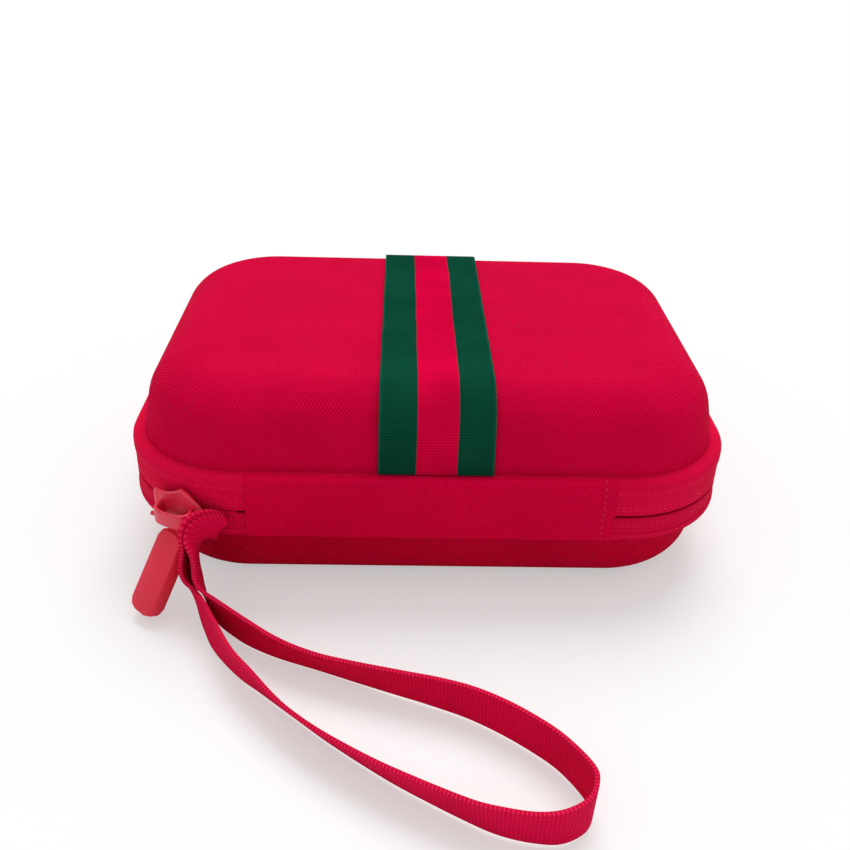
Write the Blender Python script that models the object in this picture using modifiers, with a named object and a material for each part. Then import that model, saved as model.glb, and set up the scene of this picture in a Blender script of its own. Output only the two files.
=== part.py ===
"""A small hard-shell first aid kit: a moulded zip-round case with a fabric hinge, a wrist strap and its
supplies inside. Metres, +Z up, +X along the hinge, -Y towards the hinge side.
The origin is the centre of the flat underside of the base."""

import math
from collections import namedtuple

import bmesh
import bpy
import numpy as np
from mathutils import Matrix, Vector

# Overall size of the closed case
CASE_WIDTH = 0.160
CASE_DEPTH = 0.114
CASE_HEIGHT = 0.057
CORNER_RADIUS = 0.030

# Heights of the zipped band and of the slit between the two zip tapes
BAND_BOTTOM = 0.0189
BAND_TOP = 0.0366
ZIP_HEIGHT = 0.0262
SLIT_HALF = 0.0006

# Moulded shells
WALL_INSET = 0.0030
WALL_DRAFT = math.radians(10.4)
LID_EDGE_ROUND = 0.0122
BASE_EDGE_ROUND = 0.0106
SHELL_WALL = 0.0025
LINING_WALL = 0.0007
LID_FREE_TAPE = 0.0065
BASE_FREE_TAPE = 0.0045
CORNER_SOFTEN = 0.25

# Fabric band, spine and ribbon
TAPE_THICKNESS = 0.0008
SPINE_WIDTH = 0.0930
SPINE_PROUD = 0.0004
RIBBON_WIDTH = 0.0290
RIBBON_CENTRE_X = 0.0010
RIBBON_THICKNESS = 0.0006

# Zip coils
COIL_RADIUS = 0.0007
COIL_INSET = 0.0019
COIL_OFFSET = 0.0015
STOP_LENGTH = 0.0015

# Slider, bail, pin and puller, set on the arc of the front left corner
SLIDER_ANGLE = math.radians(242)
PLATE_THICKNESS = 0.0012
PLATE_STANDOFF = 0.0005
LOWER_PLATE_INSET = 0.0034
LOWER_PLATE_THICKNESS = 0.0008
POST_THICKNESS = 0.0006
BAIL_CLEAR = 0.0034
BAIL_WALL = 0.0009
BAIL_START = -0.0056
BAIL_END = 0.0043
BAIL_TOP = 0.0022
BAIL_BAND_BOTTOM = -0.0016
BAIL_LEG_BOTTOM = -0.0039
PIN_RADIUS = 0.0006
PIN_DROP = 0.0026
BARREL_RADIUS = 0.0014
PULLER_WIDTH = 0.0084
PULLER_THICKNESS = 0.0044
PULLER_LENGTH = 0.0248
PULLER_LEAN = math.radians(27)
PULLER_SLANT = math.radians(4)
NECK_THICKNESS = 0.0020
NECK_LENGTH = 0.0036

# Wrist strap
STRAP_WIDTH = 0.0110
STRAP_THICKNESS = 0.0010
STRAP_STATIONS = 78
TACK_WIDTH = 0.0056
TACK_CENTRE_X = -0.0515
TACK_INSET = 0.0034

# Supplies
LARGE_ROLL_DIAMETER = 0.028
SMALL_ROLL_DIAMETER = 0.020
ROLL_LENGTH = 0.050
ROLL_CENTRE_Y = -0.011
LOOP_WIDTH = 0.012
LOOP_THICKNESS = 0.0008
TAPE_ROLL_DIAMETER = 0.032
TAPE_ROLL_BORE = 0.015
TAPE_ROLL_WIDTH = 0.012
PLASTER_SIZE = (0.072, 0.019, 0.006)
GAUZE_SIZE = (0.029, 0.048, 0.012)
SACHET_SIZE = (0.050, 0.055, 0.0015)
SACHETS = 3
TWEEZER_LENGTH = 0.044
TWEEZER_WIDTH = 0.007
TWEEZER_LEAF = 0.0009
POCKET_HEIGHT = 0.0460
POCKET_MOUTH_Y = 0.022
POCKET_THICKNESS = 0.0006
BINDING_SIZE = 0.0022

GAP = 0.0003
CORNER_STEPS = 8
ROUND_STEPS = 5

HINGE_Y = -CASE_DEPTH / 2
CORNER_CENTRE = Vector((-(CASE_WIDTH / 2 - CORNER_RADIUS), -(CASE_DEPTH / 2 - CORNER_RADIUS), ZIP_HEIGHT))
LINING_DEPTH = SHELL_WALL + GAP
INSIDE_DEPTH = LINING_DEPTH + LINING_WALL
BASE_FLOOR = INSIDE_DEPTH
TAPE_INNER = TAPE_THICKNESS + GAP
PLATE_OUTER = CORNER_RADIUS + PLATE_STANDOFF + PLATE_THICKNESS
PIVOT_R = PLATE_OUTER + BAIL_CLEAR / 2

Shell = namedtuple("Shell", "band_edge crown edge_round free_edge up")
LID = Shell(BAND_TOP, CASE_HEIGHT, LID_EDGE_ROUND, ZIP_HEIGHT + LID_FREE_TAPE, 1)
BASE = Shell(BAND_BOTTOM, 0.0, BASE_EDGE_ROUND, ZIP_HEIGHT - BASE_FREE_TAPE, -1)

# Centre of the webbing and the direction across it, from the mouth of the zip, out and back
STRAP_ROUTE = [
    ((-0.0515, -0.0579, 0.0259), (0.0, 0.0, 1.0)),
    ((-0.0560, -0.0592, 0.0251), (0.0, 0.0, 1.0)),
    ((-0.0602, -0.0612, 0.0222), (-0.35, -0.65, 0.7)),
    ((-0.0620, -0.0625, 0.0172), (-0.47, -0.88, 0.0)),
    ((-0.0625, -0.0636, 0.0120), (-0.47, -0.88, 0.1)),
    ((-0.0616, -0.0652, 0.0078), (-0.40, -0.60, 0.7)),
    ((-0.0583, -0.0680, 0.0058), (0.08, 0.0, 1.0)),
    ((-0.0521, -0.0787, 0.0056), (0.0, 0.0, 1.0)),
    ((-0.0456, -0.0879, 0.0056), (-0.14, -0.13, 0.98)),
    ((-0.0400, -0.0934, 0.0054), (-0.22, -0.24, 0.95)),
    ((-0.0317, -0.1014, 0.0050), (-0.34, -0.35, 0.87)),
    ((-0.0241, -0.1079, 0.0050), (-0.33, -0.38, 0.87)),
    ((-0.0152, -0.1144, 0.0051), (-0.26, -0.37, 0.89)),
    ((-0.0068, -0.1199, 0.0053), (-0.20, -0.33, 0.92)),
    ((0.0067, -0.1274, 0.0055), (-0.12, -0.25, 0.96)),
    ((0.0133, -0.1300, 0.0056), (-0.07, -0.18, 0.98)),
    ((0.0197, -0.1313, 0.0056), (-0.02, -0.14, 0.99)),
    ((0.0250, -0.1311, 0.0057), (0.0, -0.07, 1.0)),
    ((0.0298, -0.1286, 0.0057), (0.02, -0.03, 1.0)),
    ((0.0320, -0.1249, 0.0057), (0.03, 0.0, 1.0)),
    ((0.0319, -0.1207, 0.0057), (0.03, 0.0, 1.0)),
    ((0.0275, -0.1137, 0.0057), (0.0, 0.0, 1.0)),
    ((0.0224, -0.1087, 0.0057), (0.0, 0.0, 1.0)),
    ((0.0158, -0.1037, 0.0057), (0.02, -0.03, 1.0)),
    ((0.0087, -0.0995, 0.0056), (0.05, -0.09, 0.99)),
    ((0.0014, -0.0965, 0.0055), (0.08, -0.17, 0.98)),
    ((-0.0077, -0.0934, 0.0053), (0.13, -0.30, 0.95)),
    ((-0.0172, -0.0900, 0.0050), (0.18, -0.42, 0.89)),
    ((-0.0267, -0.0864, 0.0048), (0.22, -0.50, 0.84)),
    ((-0.0363, -0.0822, 0.0049), (0.25, -0.45, 0.86)),
    ((-0.0450, -0.0768, 0.0051), (0.27, -0.36, 0.89)),
    ((-0.0541, -0.0690, 0.0055), (0.22, -0.26, 0.94)),
    ((-0.0578, -0.0657, 0.0068), (-0.25, -0.65, 0.7)),
    ((-0.0592, -0.0642, 0.0100), (-0.45, -0.86, 0.25)),
    ((-0.0596, -0.0636, 0.0148), (-0.47, -0.88, 0.0)),
    ((-0.0591, -0.0630, 0.0194), (-0.40, -0.75, 0.5)),
    ((-0.0569, -0.0617, 0.0236), (-0.1, -0.2, 1.0)),
    ((-0.0532, -0.0594, 0.0255), (0.0, 0.0, 1.0)),
    ((-0.0510, -0.0590, 0.0257), (0.0, 0.0, 1.0)),
]
STRAP_MOUTH_WIDTH = 0.0018
STRAP_GATHER = 0.0070


# ---------------------------------------------------------------- helpers

def clear_scene():
    for obj in list(bpy.data.objects):
        bpy.data.objects.remove(obj)


def new_collection(name):
    collection = bpy.data.collections.new(name)
    bpy.context.scene.collection.children.link(collection)
    return collection


def material(name, colour, roughness, metallic=0.0):
    found = bpy.data.materials.get(name)
    if found:
        return found
    made = bpy.data.materials.new(name)
    made.use_nodes = True
    shader = made.node_tree.nodes["Principled BSDF"]
    shader.inputs["Base Color"].default_value = (*colour, 1.0)
    shader.inputs["Roughness"].default_value = roughness
    shader.inputs["Metallic"].default_value = metallic
    return made


def canvas():
    return material("red_canvas", (0.60, 0.003, 0.040), 0.85)


def tape_fabric():
    return material("red_zip_tape", (0.45, 0.003, 0.030), 0.8)


def coil_nylon():
    return material("red_nylon_coil", (0.35, 0.003, 0.025), 0.5)


def painted_metal():
    return material("red_painted_metal", (0.58, 0.010, 0.050), 0.4)


def puller_rubber():
    return material("red_puller_rubber", (0.50, 0.020, 0.060), 0.6)


def lining_fabric():
    return material("grey_lining", (0.10, 0.10, 0.11), 0.8)


def elastic():
    return material("black_elastic", (0.02, 0.02, 0.02), 0.85)


def paper(name, colour):
    return material(name, colour, 0.7)


def add_mesh(name, mesh, look, collection):
    obj = bpy.data.objects.new(name, mesh)
    obj.data.materials.append(look)
    collection.objects.link(obj)
    return obj


def finish_bmesh(name, bm, look, collection):
    bmesh.ops.recalc_face_normals(bm, faces=bm.faces[:])
    mesh = bpy.data.meshes.new(name)
    bm.to_mesh(mesh)
    bm.free()
    return add_mesh(name, mesh, look, collection)


def lofted(name, sections, look, collection):
    """A closed solid drawn through sections that have the same number of points each."""
    bm = bmesh.new()
    ring = [bm.verts.new(point) for point in sections[0]]
    bm.faces.new(ring)
    for section in sections[1:]:
        edges = [bm.edges.get((a, b)) for a, b in zip(ring, ring[1:] + ring[:1])]
        drawn = bmesh.ops.extrude_edge_only(bm, edges=edges)["geom"]
        fresh = {v for v in drawn if isinstance(v, bmesh.types.BMVert)}
        ring = [next(e.other_vert(v) for e in v.link_edges if e.other_vert(v) in fresh) for v in ring]
        for vertex, point in zip(ring, section):
            vertex.co = point
    bm.faces.new(ring)
    return finish_bmesh(name, bm, look, collection)


def block(name, low, high, look, collection, bevel=0.0, segments=2):
    """A box between two corners, with its edges rounded where bevel is given."""
    bm = bmesh.new()
    bmesh.ops.create_cube(bm, size=1.0)
    low, high = Vector(low), Vector(high)
    bmesh.ops.scale(bm, vec=high - low, verts=bm.verts[:])
    bmesh.ops.translate(bm, vec=(low + high) / 2, verts=bm.verts[:])
    obj = finish_bmesh(name, bm, look, collection)
    if bevel:
        rounding = obj.modifiers.new("edge_rounding", "BEVEL")
        rounding.width = bevel
        rounding.segments = segments
        rounding.limit_method = "NONE"
    return obj


def rod(name, radius, start, end, look, collection, sides=24):
    """A cylinder from one point to another."""
    start, end = Vector(start), Vector(end)
    axis = end - start
    bm = bmesh.new()
    bmesh.ops.create_cone(
        bm, cap_ends=True, segments=sides, radius1=radius, radius2=radius, depth=axis.length
    )
    turn = axis.to_track_quat("Z", "Y").to_matrix().to_4x4()
    bmesh.ops.transform(bm, matrix=Matrix.Translation((start + end) / 2) @ turn, verts=bm.verts[:])
    return finish_bmesh(name, bm, look, collection)


def boolean(obj, other, operation):
    other.hide_render = True
    other.display_type = "WIRE"
    change = obj.modifiers.new(operation.lower() + "_" + other.name, "BOOLEAN")
    change.operation = operation
    change.object = other


def empty(name, matrix, collection):
    made = bpy.data.objects.new(name, None)
    made.matrix_world = matrix
    collection.objects.link(made)
    return made


def carry(parent, *objects):
    """Each object keeps its place and moves with the parent."""
    bpy.context.view_layer.update()
    for obj in objects:
        place = obj.matrix_world.copy()
        obj.parent = parent
        obj.matrix_world = place


# ---------------------------------------------------------------- outlines of the case

def corner_arc(index, inset):
    """Points of one rounded corner of the plan outline, clockwise from the front left."""
    radius = CORNER_RADIUS - inset + CORNER_SOFTEN * max(inset - WALL_INSET, 0)
    sign_x, sign_y = ((-1, -1), (-1, 1), (1, 1), (1, -1))[index]
    centre_x = sign_x * (CASE_WIDTH / 2 - inset - radius)
    centre_y = sign_y * (CASE_DEPTH / 2 - inset - radius)
    first = math.radians(270 - 90 * index)
    turns = [first - math.pi / 2 * step / CORNER_STEPS for step in range(CORNER_STEPS + 1)]
    return [(centre_x + radius * math.cos(a), centre_y + radius * math.sin(a)) for a in turns]


def plan_ring(inset, z):
    """The whole rounded plan outline, drawn in from the outer face of the band."""
    return [Vector((x, y, z)) for index in range(4) for x, y in corner_arc(index, inset)]


def plan_path(inset, end_x):
    """The outline from one end of the spine round the left, back and right sides to its other end."""
    front = -(CASE_DEPTH / 2 - inset)
    arcs = [point for index in range(4) for point in corner_arc(index, inset)]
    return [(-end_x, front)] + arcs + [(end_x, front)]


def wall_levels(shell, depth):
    """(inset, z) along the wall of a shell, from the band to the crown, at a depth under its face."""
    knee_z = shell.crown - shell.up * shell.edge_round
    knee_inset = WALL_INSET + abs(knee_z - shell.band_edge) * math.tan(WALL_DRAFT)
    levels = [(WALL_INSET + depth, shell.band_edge)]
    for step in range(ROUND_STEPS + 1):
        turn = math.pi / 2 * step / ROUND_STEPS
        reach = shell.edge_round - depth
        inset = knee_inset + shell.edge_round - reach * math.cos(turn)
        levels.append((inset, knee_z + shell.up * reach * math.sin(turn)))
    return levels


# ---------------------------------------------------------------- shells, linings and band

def moulded_shell(name, shell, collection):
    """A moulded foam shell covered in canvas, with the flange that the zip tape is sewn to."""
    inner = wall_levels(shell, SHELL_WALL)[::-1]
    foot = [(WALL_INSET + SHELL_WALL, shell.free_edge), (TAPE_INNER, shell.free_edge)]
    ledge = [(TAPE_INNER, shell.band_edge)]
    outer = wall_levels(shell, 0.0)
    sections = [plan_ring(inset, z) for inset, z in inner + foot + ledge + outer]
    return lofted(name, sections, canvas(), collection)


def lining(name, shell, collection):
    """The thin knitted lining glued inside a shell."""
    inner = wall_levels(shell, LINING_DEPTH + LINING_WALL)[::-1]
    outer = wall_levels(shell, LINING_DEPTH)
    foot = [(inner[-1][0], shell.free_edge), (outer[0][0], shell.free_edge)]
    sections = [plan_ring(inset, z) for inset, z in inner + foot + outer]
    return lofted(name, sections, lining_fabric(), collection)


def path_strip(name, end_x, inset_out, inset_in, z_low, z_high, look, collection):
    """A strip of constant section that follows the band round the case."""
    outer = plan_path(inset_out, end_x)
    inner = plan_path(inset_in, end_x)
    sections = [
        [Vector((*a, z_low)), Vector((*a, z_high)), Vector((*b, z_high)), Vector((*b, z_low))]
        for a, b in zip(outer, inner)
    ]
    return lofted(name, sections, look, collection)


def zip_tapes(collection):
    end_x = SPINE_WIDTH / 2 + GAP
    look = tape_fabric()
    lower = (BAND_BOTTOM, ZIP_HEIGHT - SLIT_HALF)
    upper = (ZIP_HEIGHT + SLIT_HALF, BAND_TOP)
    return (
        path_strip("zip_tape_lower", end_x, 0.0, TAPE_THICKNESS, *lower, look, collection),
        path_strip("zip_tape_upper", end_x, 0.0, TAPE_THICKNESS, *upper, look, collection),
    )


def zip_coil(name, z, collection):
    """One half of the nylon coil, a plain bead along the inner face of its tape."""
    end_x = SPINE_WIDTH / 2 + 2 * GAP + STOP_LENGTH
    curve = bpy.data.curves.new(name, "CURVE")
    curve.dimensions = "3D"
    curve.bevel_depth = COIL_RADIUS
    curve.bevel_resolution = 1
    curve.use_fill_caps = True
    spline = curve.splines.new("POLY")
    points = plan_path(COIL_INSET, end_x)
    spline.points.add(len(points) - 1)
    for point, (x, y) in zip(spline.points, points):
        point.co = (x, y, z, 1.0)
    return add_mesh(name, curve, coil_nylon(), collection)


def zip_stop(name, side, collection):
    """The crimped stop at one end of the lower coil."""
    near = SPINE_WIDTH / 2 + GAP
    x_low, x_high = sorted((side * near, side * (near + STOP_LENGTH)))
    front = -CASE_DEPTH / 2
    low = (x_low, front + TAPE_INNER, ZIP_HEIGHT - COIL_OFFSET - COIL_RADIUS)
    high = (x_high, front + COIL_INSET + COIL_RADIUS, ZIP_HEIGHT - COIL_OFFSET + COIL_RADIUS)
    return block(name, low, high, painted_metal(), collection, bevel=0.0002, segments=1)


def hinge_spine(collection):
    """The folded canvas that joins the lid to the base along the hinge."""
    half = SPINE_WIDTH / 2
    front = -CASE_DEPTH / 2
    low = (-half, front - SPINE_PROUD, BAND_BOTTOM)
    high = (half, front + TAPE_THICKNESS, BAND_TOP)
    return block("hinge_spine", low, high, canvas(), collection, bevel=0.0003, segments=1)


def hinge_lining(collection):
    """The strip of lining that bridges the fold inside the case."""
    inset = WALL_INSET + LINING_DEPTH
    front = -CASE_DEPTH / 2
    low = (-SPINE_WIDTH / 2, front + inset, BASE.free_edge + GAP)
    high = (SPINE_WIDTH / 2, front + inset + LINING_WALL, LID.free_edge - GAP)
    return block("hinge_lining", low, high, lining_fabric(), collection)


def lid_ribbon(collection):
    """The striped ribbon glued over the lid from the back of the band to the hinge side."""
    x_low = RIBBON_CENTRE_X - RIBBON_WIDTH / 2
    x_high = RIBBON_CENTRE_X + RIBBON_WIDTH / 2
    under = wall_levels(LID, -GAP)
    over = wall_levels(LID, -GAP - RIBBON_THICKNESS)
    half = CASE_DEPTH / 2
    profile = [((half - a[0], a[1]), (half - b[0], b[1])) for a, b in zip(under, over)]
    profile += [((-a[0], a[1]), (-b[0], b[1])) for a, b in profile[::-1]]
    lowest = BAND_TOP + GAP
    profile = [[(y, max(z, lowest)) for y, z in pair] for pair in profile]
    sections = [
        [
            Vector((x_low, *below)),
            Vector((x_low, *above)),
            Vector((x_high, *above)),
            Vector((x_high, *below)),
        ]
        for below, above in profile
    ]
    look = material("striped_ribbon", (0.02, 0.10, 0.05), 0.7)
    return lofted("lid_ribbon", sections, look, collection)


# ---------------------------------------------------------------- slider and puller

def slider_place():
    """Local X points out of the band, local Y along the zip towards the spine, from the corner's centre."""
    return Matrix.Translation(CORNER_CENTRE) @ Matrix.Rotation(SLIDER_ANGLE, 4, "Z")


def slider_plate(collection):
    """The shield-shaped top plate, drawn as half an outline and mirrored."""
    half = [(-0.0074, 0.0046), (-0.0036, 0.0043), (0.0004, 0.0059), (0.0040, 0.0038), (0.0073, 0.0008)]
    outline = half + [(s, -h) for s, h in half[::-1]]
    r_low = CORNER_RADIUS + PLATE_STANDOFF
    sections = [[Vector((r, s, h)) for s, h in outline] for r in (r_low, PLATE_OUTER)]
    return lofted("slider_body", sections, painted_metal(), collection)


def build_slider(parts, cutters, axis):
    look = painted_metal()
    body = slider_plate(parts)
    lower_out = CORNER_RADIUS - LOWER_PLATE_INSET
    lower = block(
        "slider_lower_plate",
        (lower_out - LOWER_PLATE_THICKNESS, -0.0050, -0.0036),
        (lower_out, 0.0050, 0.0036),
        look,
        cutters,
    )
    post = block(
        "slider_post",
        (lower_out - LOWER_PLATE_THICKNESS / 2, -0.0015, -POST_THICKNESS / 2),
        (CORNER_RADIUS + PLATE_STANDOFF + PLATE_THICKNESS / 2, 0.0035, POST_THICKNESS / 2),
        look,
        cutters,
    )
    boolean(body, post, "UNION")
    boolean(body, lower, "UNION")

    foot = PLATE_OUTER + GAP
    band_in = PLATE_OUTER + BAIL_CLEAR
    band_out = band_in + BAIL_WALL
    bail = block(
        "slider_bail", (band_in, BAIL_START, BAIL_BAND_BOTTOM), (band_out, BAIL_END, BAIL_TOP), look, parts
    )
    legs = [
        block("bail_leg_left", (foot, BAIL_START, BAIL_LEG_BOTTOM),
              (band_out, BAIL_START + BAIL_WALL, BAIL_TOP), look, cutters),
        block("bail_leg_right", (foot, BAIL_END - BAIL_WALL, BAIL_LEG_BOTTOM),
              (band_out, BAIL_END, BAIL_TOP), look, cutters),
    ]
    for leg in legs:
        boolean(bail, leg, "UNION")
    pin_ends = [(PIVOT_R, BAIL_START - GAP, -PIN_DROP), (PIVOT_R, BAIL_END + GAP, -PIN_DROP)]
    bore_ends = [(PIVOT_R, BAIL_START - 0.002, -PIN_DROP), (PIVOT_R, BAIL_END + 0.002, -PIN_DROP)]
    bore = rod("pin_bore", PIN_RADIUS + GAP, *bore_ends, look, cutters, sides=16)
    boolean(bail, bore, "DIFFERENCE")
    pin = rod("puller_pin", PIN_RADIUS, *pin_ends, look, parts, sides=16)
    for obj in (body, lower, post, bail, *legs, bore, pin):
        obj.parent = axis
    return bore


def build_puller(parts, cutters, axis):
    """A moulded slab on a short neck, turned down from its barrel and leaning out to rest on its tip."""
    look = puller_rubber()
    start = BAIL_START + BAIL_WALL + GAP
    end = BAIL_END - BAIL_WALL - GAP
    middle = (start + end) / 2
    barrel = rod("puller", BARREL_RADIUS, (0, start, 0), (0, end, 0), look, parts, sides=20)
    neck = block(
        "puller_neck",
        (-NECK_THICKNESS / 2, start + 0.0006, -NECK_LENGTH - 0.0005),
        (NECK_THICKNESS / 2, end - 0.0006, -0.0002),
        look,
        cutters,
    )
    half = [(0.0, 0.55), (0.0020, 1.0), (PULLER_LENGTH - NECK_LENGTH - 0.0022, 1.0),
            (PULLER_LENGTH - NECK_LENGTH, 0.62)]
    outline = [(middle + PULLER_WIDTH / 2 * share, -NECK_LENGTH - drop) for drop, share in half]
    outline += [(middle - PULLER_WIDTH / 2 * share, -NECK_LENGTH - drop) for drop, share in half[::-1]]
    thick = PULLER_THICKNESS / 2
    sections = [[Vector((x, s, z)) for s, z in outline] for x in (-thick, thick)]
    slab = lofted("puller_slab", sections, look, cutters)
    chamfer = slab.modifiers.new("chamfer", "BEVEL")
    chamfer.width = 0.0009
    chamfer.segments = 1
    bore_ends = [(0, start - 0.002, 0), (0, end + 0.002, 0)]
    bore = rod("barrel_bore", PIN_RADIUS + GAP, *bore_ends, look, cutters, sides=16)
    boolean(barrel, neck, "UNION")
    boolean(barrel, slab, "UNION")
    boolean(barrel, bore, "DIFFERENCE")
    for obj in (neck, slab):
        obj.matrix_world = Matrix.Rotation(-PULLER_SLANT, 4, "X")
    for obj in (barrel, neck, slab, bore):
        obj.parent = axis


# ---------------------------------------------------------------- wrist strap

def smooth_route(stations, count):
    """Evenly spaced stations along a Catmull-Rom curve; the first three values of each are its place."""
    ends = [2 * stations[0] - stations[1], *stations, 2 * stations[-1] - stations[-2]]
    fine = []
    for p0, p1, p2, p3 in zip(ends, ends[1:], ends[2:], ends[3:]):
        for t in np.linspace(0, 1, 12, endpoint=False):
            bend = (2 * p0 - 5 * p1 + 4 * p2 - p3) * t**2 + (3 * p1 - p0 - 3 * p2 + p3) * t**3
            fine.append((2 * p1 + (p2 - p0) * t + bend) / 2)
    fine = np.array([*fine, stations[-1]])
    steps = np.linalg.norm(np.diff(fine[:, :3], axis=0), axis=1)
    along = np.concatenate([[0], np.cumsum(steps)])
    wanted = np.linspace(0, along[-1], count)
    return np.array([np.interp(wanted, along, column) for column in fine.T]).T, along[-1]


def wrist_strap(collection):
    """The flat webbing loop, its two ends gathered where they enter the mouth of the zip."""
    stations = [np.array([*centre, *across]) for centre, across in STRAP_ROUTE]
    route, length = smooth_route(stations, STRAP_STATIONS)
    centres = [Vector(station[:3]) for station in route]
    sections = []
    for number, (centre, station) in enumerate(zip(centres, route)):
        ahead = centres[min(number + 1, len(route) - 1)] - centres[max(number - 1, 0)]
        ahead.normalize()
        wide = Vector(station[3:])
        wide = (wide - ahead * wide.dot(ahead)).normalized()
        thick = ahead.cross(wide) * STRAP_THICKNESS / 2
        share = number / (len(route) - 1)
        gathered = min(1.0, min(share, 1 - share) * length / STRAP_GATHER)
        wide *= (STRAP_MOUTH_WIDTH + (STRAP_WIDTH - STRAP_MOUTH_WIDTH) * gathered) / 2
        section = [
            centre - wide - thick,
            centre + wide - thick,
            centre + wide + thick,
            centre - wide + thick,
        ]
        lift = Vector((0, 0, max(0.0, GAP - min(point.z for point in section))))
        sections.append([point + lift for point in section])
    look = material("red_webbing", (0.43, 0.003, 0.030), 0.8)
    return lofted("wrist_strap", sections, look, collection)


def strap_tack(parts, cutters):
    """The sewn-down ends of the strap: a stitched block behind the lower tape and a tongue in the slit."""
    look = material("red_webbing", (0.43, 0.003, 0.030), 0.8)
    front = -CASE_DEPTH / 2
    half = TACK_WIDTH / 2
    inner = front + TACK_INSET
    x_low, x_high = TACK_CENTRE_X - half, TACK_CENTRE_X + half
    tack = block(
        "strap_tack",
        (x_low, inner, ZIP_HEIGHT - BASE_FREE_TAPE + GAP),
        (x_high, inner + 0.0022, ZIP_HEIGHT + GAP),
        look,
        parts,
    )
    tongue = block(
        "tack_tongue",
        (x_low, front - 0.0002, ZIP_HEIGHT - GAP),
        (x_high, inner + 0.0010, ZIP_HEIGHT + GAP),
        look,
        cutters,
    )
    boolean(tack, tongue, "UNION")
    return tack


# ---------------------------------------------------------------- supplies

def bandage_roll(name, diameter, x, collection):
    z = BASE_FLOOR + GAP + diameter / 2
    half = ROLL_LENGTH / 2
    look = paper("white_bandage", (0.80, 0.78, 0.72))
    return rod(
        name, diameter / 2, (x, ROLL_CENTRE_Y - half, z), (x, ROLL_CENTRE_Y + half, z), look, collection, 28
    )


def elastic_loop(name, diameter, x, collection):
    """A band of elastic over a roll, open underneath where it is sewn to the lining."""
    centre_z = BASE_FLOOR + GAP + diameter / 2
    inner = diameter / 2 + GAP
    outer = inner + LOOP_THICKNESS
    half = LOOP_WIDTH / 2
    opening = math.acos((centre_z - BASE_FLOOR - GAP) / outer)
    steps = 24
    sections = []
    for step in range(steps + 1):
        turn = -math.pi / 2 + opening + (2 * math.pi - 2 * opening) * step / steps
        near, far = [
            Vector((x + radius * math.cos(turn), 0, centre_z + radius * math.sin(turn)))
            for radius in (inner, outer)
        ]
        sections.append([
            near + Vector((0, ROLL_CENTRE_Y - half, 0)),
            far + Vector((0, ROLL_CENTRE_Y - half, 0)),
            far + Vector((0, ROLL_CENTRE_Y + half, 0)),
            near + Vector((0, ROLL_CENTRE_Y + half, 0)),
        ])
    return lofted(name, sections, elastic(), collection)


def tape_roll(parts, cutters):
    """A roll of adhesive tape, lying flat."""
    centre = Vector((0.0130, -0.0200, BASE_FLOOR + GAP))
    top = centre + Vector((0, 0, TAPE_ROLL_WIDTH))
    look = paper("surgical_tape", (0.75, 0.70, 0.62))
    roll = rod("tape_roll", TAPE_ROLL_DIAMETER / 2, centre, top, look, parts, 32)
    reach = Vector((0, 0, 0.002))
    hole = rod("tape_bore", TAPE_ROLL_BORE / 2, centre - reach, top + reach, look, cutters, 24)
    boolean(roll, hole, "DIFFERENCE")
    return roll


def pack(name, corner, size, look, collection, bevel=0.0008):
    """A soft pack lying with its lowest corner at the given point."""
    high = [a + b for a, b in zip(corner, size)]
    return block(name, corner, high, look, collection, bevel=bevel, segments=1)


def tweezers(collection):
    """Two sprung leaves joined at the heel, lying on their edge."""
    floor = BASE_FLOOR + GAP
    heel_x, y = -0.0590, 0.0270
    tip_x = heel_x + TWEEZER_LENGTH
    spread = TWEEZER_WIDTH / 2
    middle_x = heel_x + TWEEZER_LENGTH * 0.45
    right = [(heel_x + 0.004, 0.0), (middle_x, spread), (tip_x, 0.0012)]
    outer = [(heel_x, TWEEZER_LEAF)] + [(x, off + TWEEZER_LEAF) for x, off in right]
    outline = [(x, y + off) for x, off in outer] + [(x, y + off) for x, off in right[::-1][:2]]
    outline += [(heel_x + 0.0055, y + 0.0003), (heel_x + 0.0055, y - 0.0003)]
    outline += [(x, y - off) for x, off in right[1:]]
    outline += [(x, y - off) for x, off in outer[::-1]]
    sections = [[Vector((x, yy, z)) for x, yy in outline] for z in (floor, floor + 0.0045)]
    look = material("brushed_steel", (0.55, 0.55, 0.57), 0.3, 1.0)
    return lofted("tweezers", sections, look, collection)


def build_supplies(parts, cutters):
    large_x, small_x = -0.0460, -0.0170
    floor = BASE_FLOOR + GAP
    bandage_roll("bandage_roll_large", LARGE_ROLL_DIAMETER, large_x, parts)
    bandage_roll("bandage_roll_small", SMALL_ROLL_DIAMETER, small_x, parts)
    elastic_loop("elastic_loop_large", LARGE_ROLL_DIAMETER, large_x, parts)
    elastic_loop("elastic_loop_small", SMALL_ROLL_DIAMETER, small_x, parts)
    tape_roll(parts, cutters)
    plaster_look = paper("plaster_paper", (0.72, 0.55, 0.42))
    pack("plaster_strips", (-0.0120, 0.0180, floor), PLASTER_SIZE, plaster_look, parts)
    gauze_look = paper("gauze_paper", (0.80, 0.82, 0.82))
    pack("gauze_pads", (0.0330, -0.0340, floor), GAUZE_SIZE, gauze_look, parts)
    tweezers(parts)


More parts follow.
